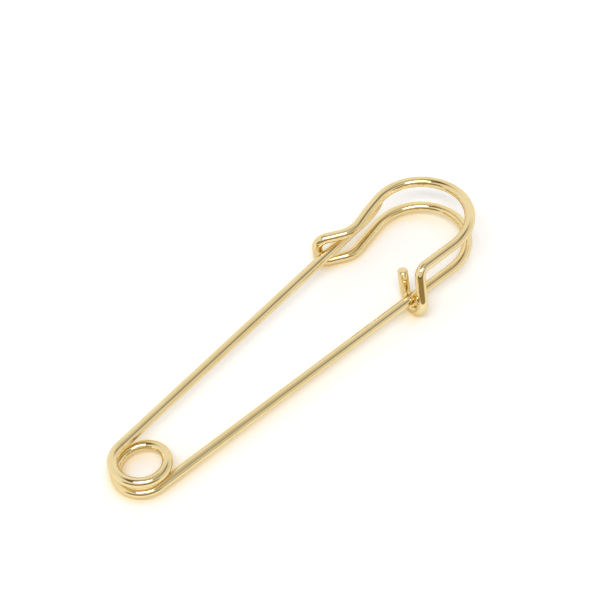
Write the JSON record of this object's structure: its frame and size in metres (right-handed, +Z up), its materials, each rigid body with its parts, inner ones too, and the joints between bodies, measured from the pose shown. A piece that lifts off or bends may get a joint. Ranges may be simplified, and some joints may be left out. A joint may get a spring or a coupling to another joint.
{
  "type": "safety pin",
  "caption": "Large kilt-style safety pin bent from plated spring wire, with a coiled spring, a guarded needle point and a wrapped, cut wire end.",
  "frame": {"origin": "on the surface that the pin lies on, under the middle of its box", "axes": "+X from the spring coil to the head, +Y from the back arm to the needle, +Z up from the surface"},
  "size_m": [0.1022, 0.0286, 0.013],
  "materials": {
    "gold_plated_wire": "bright polished pale gold plating"
  },
  "bodies": {
    "root": {"spring_coil": "gold_plated_wire", "back_arm": "gold_plated_wire", "head_lower_strand": "gold_plated_wire", "guard_bend": "gold_plated_wire", "head_upper_strand": "gold_plated_wire", "end_wrap": "gold_plated_wire", "cut_tail": "gold_plated_wire"},
    "heel": {"needle_heel": "gold_plated_wire"},
    "needle": {"needle_shaft": "gold_plated_wire", "needle_point": "gold_plated_wire"}
  },
  "joints": [
    {"name": "needle_side", "type": "hinge", "parent": "root", "child": "heel", "pos_m": [-0.04443, 0.00571, 0.00451], "axis": [-0.9972, -0.074, -0.0137], "range_deg": [0, 180]},
    {"name": "needle_bend", "type": "hinge", "parent": "heel", "child": "needle", "pos_m": [-0.04174, 0.00591, 0.00455], "axis": [0.024, -0.1408, -0.9897], "range_deg": [0, 12], "stiffness_Nm_per_rad": 0.05}
  ]
}
